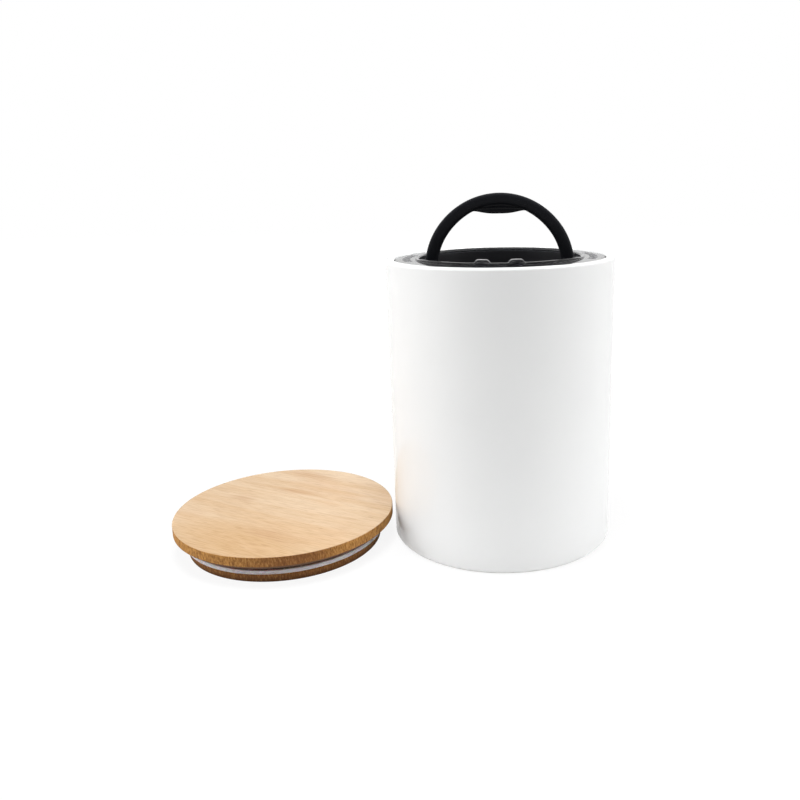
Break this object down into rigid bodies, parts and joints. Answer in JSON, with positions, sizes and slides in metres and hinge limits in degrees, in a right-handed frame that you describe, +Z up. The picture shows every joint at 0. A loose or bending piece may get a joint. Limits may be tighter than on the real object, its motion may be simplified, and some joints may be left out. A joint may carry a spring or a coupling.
{
  "type": "coffee canister with valve",
  "caption": "Round glazed stoneware coffee canister with a plunger lid that presses down on the beans, a folding bail handle that works its air valve, and a turned bamboo outer lid.",
  "frame": {"origin": "middle of the canister's foot ring, on the table", "axes": "+Z up; the front, which the handle folds towards, is -Y; the bamboo lid lies towards -X"},
  "size_m": [0.2793, 0.1598, 0.216],
  "materials": {
    "glaze": "gloss",
    "smoke_plastic": "gloss",
    "black_plastic": "satin",
    "black_silicone": "matte",
    "clear_silicone": "satin",
    "steel": "brushed",
    "bamboo": "satin"
  },
  "bodies": {
    "canister": {"canister_body": "glaze"},
    "inner_lid": {"plunger_shell": "smoke_plastic", "plunger_base": "smoke_plastic", "wiper_seal": "black_silicone", "valve_seat": "black_silicone", "stem_guide": "smoke_plastic", "valve_spring": "steel"},
    "handle": {"handle": "black_plastic"},
    "valve": {"valve_bar": "black_plastic", "valve_plug": "black_silicone", "valve_stem": "steel", "valve_washer": "steel", "stem_clip": "steel"},
    "bamboo_lid": {"bamboo_lid": "bamboo", "lid_ring": "clear_silicone"}
  },
  "joints": [
    {"name": "inner_lid_slide", "type": "slide", "parent": "canister", "child": "inner_lid", "axis": [0, 0, 1], "range_m": [-0.125, 0.09]},
    {"name": "handle_hinge", "type": "hinge", "parent": "inner_lid", "child": "handle", "pos_m": [0, 0, 0.171], "axis": [1, 0, 0], "range_deg": [0, 90]},
    {"name": "valve_slide", "type": "slide", "parent": "inner_lid", "child": "valve", "axis": [0, 0, 1], "range_m": [-0.00205, 0], "deforming": ["valve_spring"]},
    {"name": "bamboo_lid_lift", "type": "slide", "parent": "canister", "child": "bamboo_lid", "axis": [0, 0, 1], "range_m": [0, 0.25]}
  ],
  "couplings": [
    {"joint": "valve_slide", "follows": "handle_hinge", "m_per_rad": -0.0012732}
  ]
}
